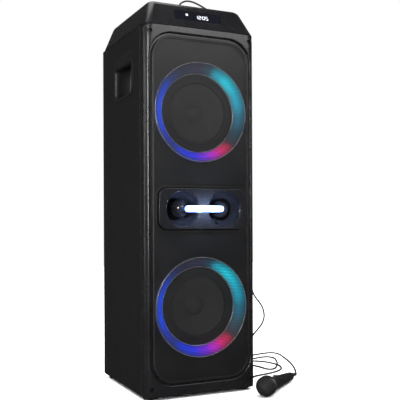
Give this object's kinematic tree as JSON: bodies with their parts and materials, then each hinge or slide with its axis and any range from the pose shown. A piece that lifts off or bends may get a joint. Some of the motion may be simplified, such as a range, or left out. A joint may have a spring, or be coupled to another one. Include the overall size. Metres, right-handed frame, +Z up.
{
  "type": "party speaker",
  "caption": "Tall black party speaker: two ring-lit woofers behind a perforated grille, twin-horn tweeter panel, sloped display, top controls and a wired microphone.",
  "frame": {"origin": "on the floor under the middle of the cabinet, at the underside of the feet", "axes": "+Z up, -Y out of the front grille, +X to the right of someone facing the front"},
  "size_m": [0.6241, 0.5306, 1.063],
  "materials": {
    "pcb": "green circuit board",
    "board": "bare fibreboard, painted black where seen",
    "screw": "black oxide steel",
    "moulding": "satin black moulded plastic",
    "window": "clear gloss black window over a lit display",
    "knob": "satin black with a pale pointer line",
    "grille": "perforated steel sheet, satin black powder coat",
    "rubber": "matt black rubber",
    "gloss": "gloss black moulded plastic",
    "cabinet": "smooth satin black foil over board, faint orange peel",
    "bar": "frosted diffuser, lit cool white",
    "button": "soft black rubber with a fine texture",
    "cone": "black coated paper with fine fibres",
    "ring": "frosted translucent diffuser, lit in colours",
    "magnet": "zinc plated steel",
    "chassis": "black painted pressed steel",
    "cord": "black PVC jacket",
    "mic_body": "satin black plastic",
    "mic_mesh": "woven steel wire mesh, painted black",
    "metal": "nickel plated metal"
  },
  "bodies": {
    "cabinet": {"amplifier_board": "pcb", "back_panel": "board", "baffle_board": "board", "bottom_left_screw": "screw", "bottom_panel": "board", "bottom_right_screw": "screw", "control_plate": "moulding", "display_window": "window", "front_bezel": "moulding", "front_grille": "grille", "front_left_foot": "rubber", "front_right_foot": "rubber", "left_handle_cup": "moulding", "left_horn": "gloss", "left_side_panel": "cabinet", "left_tweeter": "gloss", "light_bar": "bar", "lower_bass_port": "moulding", "lower_light_ring": "ring", "lower_magnet": "magnet", "lower_surround": "rubber", "lower_woofer_basket": "chassis", "mains_inlet": "moulding", "mic_cord": "cord", "mic_handle": "mic_body", "mic_head": "mic_mesh", "mic_plug": "mic_body", "mic_socket_1": "metal", "mic_socket_2": "metal", "middle_shelf": "board", "rear_left_foot": "rubber", "rear_plate": "moulding", "rear_right_foot": "rubber", "right_handle_cup": "moulding", "right_horn": "gloss", "right_side_panel": "cabinet", "right_tweeter": "gloss", "top_cap": "moulding", "top_left_screw": "screw", "top_right_screw": "screw", "transformer": "magnet", "tweeter_panel": "moulding", "upper_bass_port": "moulding", "upper_light_ring": "ring", "upper_magnet": "magnet", "upper_surround": "rubber", "upper_woofer_basket": "chassis", "usb_socket": "metal"},
    "volume_knob": {"volume_knob": "knob"},
    "mic_level_knob": {"mic_level_knob": "knob"},
    "echo_knob": {"echo_knob": "knob"},
    "power_button": {"power_button": "button"},
    "mode_button": {"mode_button": "button"},
    "previous_button": {"previous_button": "button"},
    "next_button": {"next_button": "button"},
    "lights_button": {"lights_button": "button"},
    "power_rocker": {"power_rocker": "button"},
    "upper_cone": {"upper_cone": "cone"},
    "lower_cone": {"lower_cone": "cone"},
    "mic_switch": {"mic_switch": "metal"}
  },
  "joints": [
    {"name": "volume_knob_turn", "type": "hinge", "parent": "cabinet", "child": "volume_knob", "pos_m": [-0.06, -0.01, 1], "axis": [0, 0, -1], "range_deg": [-135, 135]},
    {"name": "mic_level_knob_turn", "type": "hinge", "parent": "cabinet", "child": "mic_level_knob", "pos_m": [-0.072, 0.05, 1], "axis": [0, 0, -1], "range_deg": [-135, 135]},
    {"name": "echo_knob_turn", "type": "hinge", "parent": "cabinet", "child": "echo_knob", "pos_m": [-0.034, 0.05, 1], "axis": [0, 0, -1], "range_deg": [-135, 135]},
    {"name": "power_button_press", "type": "slide", "parent": "cabinet", "child": "power_button", "axis": [0, 0, -1], "range_m": [0, 0.0015], "stiffness_N_per_m": 300},
    {"name": "mode_button_press", "type": "slide", "parent": "cabinet", "child": "mode_button", "axis": [0, 0, -1], "range_m": [0, 0.0015], "stiffness_N_per_m": 300},
    {"name": "previous_button_press", "type": "slide", "parent": "cabinet", "child": "previous_button", "axis": [0, 0, -1], "range_m": [0, 0.0015], "stiffness_N_per_m": 300},
    {"name": "next_button_press", "type": "slide", "parent": "cabinet", "child": "next_button", "axis": [0, 0, -1], "range_m": [0, 0.0015], "stiffness_N_per_m": 300},
    {"name": "lights_button_press", "type": "slide", "parent": "cabinet", "child": "lights_button", "axis": [0, 0, -1], "range_m": [0, 0.0015], "stiffness_N_per_m": 300},
    {"name": "power_rocker_tilt", "type": "hinge", "parent": "cabinet", "child": "power_rocker", "pos_m": [0.02, 0.166, 0.128], "axis": [1, 0, 0], "range_deg": [0, 10]},
    {"name": "upper_cone_throw", "type": "slide", "parent": "cabinet", "child": "upper_cone", "axis": [0, -1, 0], "range_m": [-0.004, 0.004], "stiffness_N_per_m": 1800},
    {"name": "lower_cone_throw", "type": "slide", "parent": "cabinet", "child": "lower_cone", "axis": [0, -1, 0], "range_m": [-0.004, 0.004], "stiffness_N_per_m": 1800},
    {"name": "mic_switch_slide", "type": "slide", "parent": "cabinet", "child": "mic_switch", "axis": [0.7798, 0.6229, -0.0625], "range_m": [-0.004, 0.004]}
  ]
}
